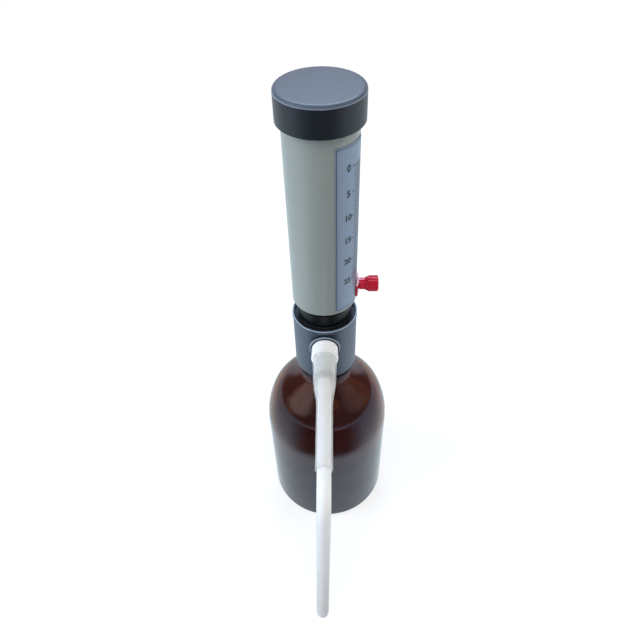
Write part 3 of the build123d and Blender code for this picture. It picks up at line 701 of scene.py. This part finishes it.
bmesh.ops.create_grid(bm, x_segments=1, y_segments=1, size=bench_reach)
bmesh.ops.translate(bm, verts=bm.verts, vec=(0, 0, -bench_below))
bench_mesh = bpy.data.meshes.new("bench_top")
bm.to_mesh(bench_mesh)
bm.free()
bench_mesh.materials.append(bench_paint)
bench = bpy.data.objects.new("bench_top", bench_mesh)
bpy.context.scene.collection.objects.link(bench)

lit_point = Vector((0, 0, 0.15))
for name, place_at, size, power, tint in (
        ("lamp_back", (0.0, 1.15, 1.35), (1.0, 0.75), 20.0, "#CFE2FF"),
        ("lamp_left", (-1.2, -0.25, 0.8), (1.2, 1.6), 25.0, "#DCEBFF"),
        ("lamp_right", (1.2, 0.1, 0.8), (1.2, 1.6), 11.0, "#FFFFFF"),
        ("lamp_front", (0.05, -0.8, 1.75), (1.4, 1.0), 16.0, "#FFFFFF")):
    lamp_data = bpy.data.lights.new(name, "AREA")
    lamp_data.shape, lamp_data.energy = "ELLIPSE", power
    lamp_data.size, lamp_data.size_y = size
    lamp_data.color = linear(tint)[:3]
    lamp = bpy.data.objects.new(name, lamp_data)
    lamp.location = place_at
    towards = lit_point - Vector(place_at)
    lamp.rotation_euler = towards.to_track_quat("-Z", "Y").to_euler()
    # All but the back lamp are bounced off the walls, too broad and dim to be made out in a
    # reflection; the glow in the room stands for them there.
    lamp.visible_glossy = name == "lamp_back"
    bpy.context.scene.collection.objects.link(lamp)

room = bpy.data.worlds.new("pale_room")
bpy.context.scene.world = room
room.use_nodes = True
tree = room.node_tree
tree.nodes.clear()
rays = add_node(tree, "ShaderNodeLightPath")
clear_view = add_node(tree, "ShaderNodeMath", {"operation": "MAXIMUM"},
                      {0: rays.outputs["Is Camera Ray"], 1: rays.outputs["Is Transmission Ray"]})
seen = add_node(tree, "ShaderNodeMath", {"operation": "MAXIMUM"},
                {0: clear_view.outputs[0], 1: rays.outputs["Is Glossy Ray"]})
level = add_node(tree, "ShaderNodeMapRange", {"To Min": 0.95, "To Max": 1.0},
                 {"Value": seen.outputs[0]})
# White walls up to eye level, falling to a dim ceiling.
direction = add_node(tree, "ShaderNodeTexCoord")
axes = add_node(tree, "ShaderNodeSeparateXYZ", {}, {"Vector": direction.outputs["Generated"]})
walls = add_node(tree, "ShaderNodeMapRange",
                 {"interpolation_type": "SMOOTHSTEP", "From Min": 0.0, "From Max": 0.2,
                  "To Min": 1.0, "To Max": 0.16}, {"Value": axes.outputs["Z"]})
room_light = add_node(tree, "ShaderNodeMath", {"operation": "MULTIPLY"},
                      {0: level.outputs[0], 1: walls.outputs[0]})
strength = add_node(tree, "ShaderNodeMath", {"operation": "MAXIMUM"},
                    {0: room_light.outputs[0], 1: clear_view.outputs[0]})
sky = add_node(tree, "ShaderNodeBackground", {"Color": linear("#FBFDFF")},
               {"Strength": strength.outputs[0]})
# Two windows in warm evening light, seen only in reflections: up on the left and, weaker, on
# the right.
left_window, right_window = ((-0.73, -0.26, 0.64), 1.2), ((0.76, -0.18, 0.62), 0.4)
light = sky
for way, most in (left_window, right_window):
    facing = add_node(tree, "ShaderNodeVectorMath", {"operation": "DOT_PRODUCT", 1: way},
                      {0: direction.outputs["Generated"]})
    glow = add_node(tree, "ShaderNodeMapRange",
                    {"interpolation_type": "SMOOTHSTEP", "From Min": 0.89, "From Max": 0.97,
                     "To Min": 0.0, "To Max": most}, {"Value": facing.outputs["Value"]})
    glow = add_node(tree, "ShaderNodeMath", {"operation": "MULTIPLY"},
                    {0: glow.outputs[0], 1: rays.outputs["Is Glossy Ray"]})
    window = add_node(tree, "ShaderNodeBackground", {"Color": linear("#FFDDC4")},
                      {"Strength": glow.outputs[0]})
    light = add_node(tree, "ShaderNodeAddShader", {}, {0: light.outputs[0], 1: window.outputs[0]})
add_node(tree, "ShaderNodeOutputWorld", links={"Surface": light.outputs[0]})
bpy.context.scene.view_settings.view_transform = "Standard"
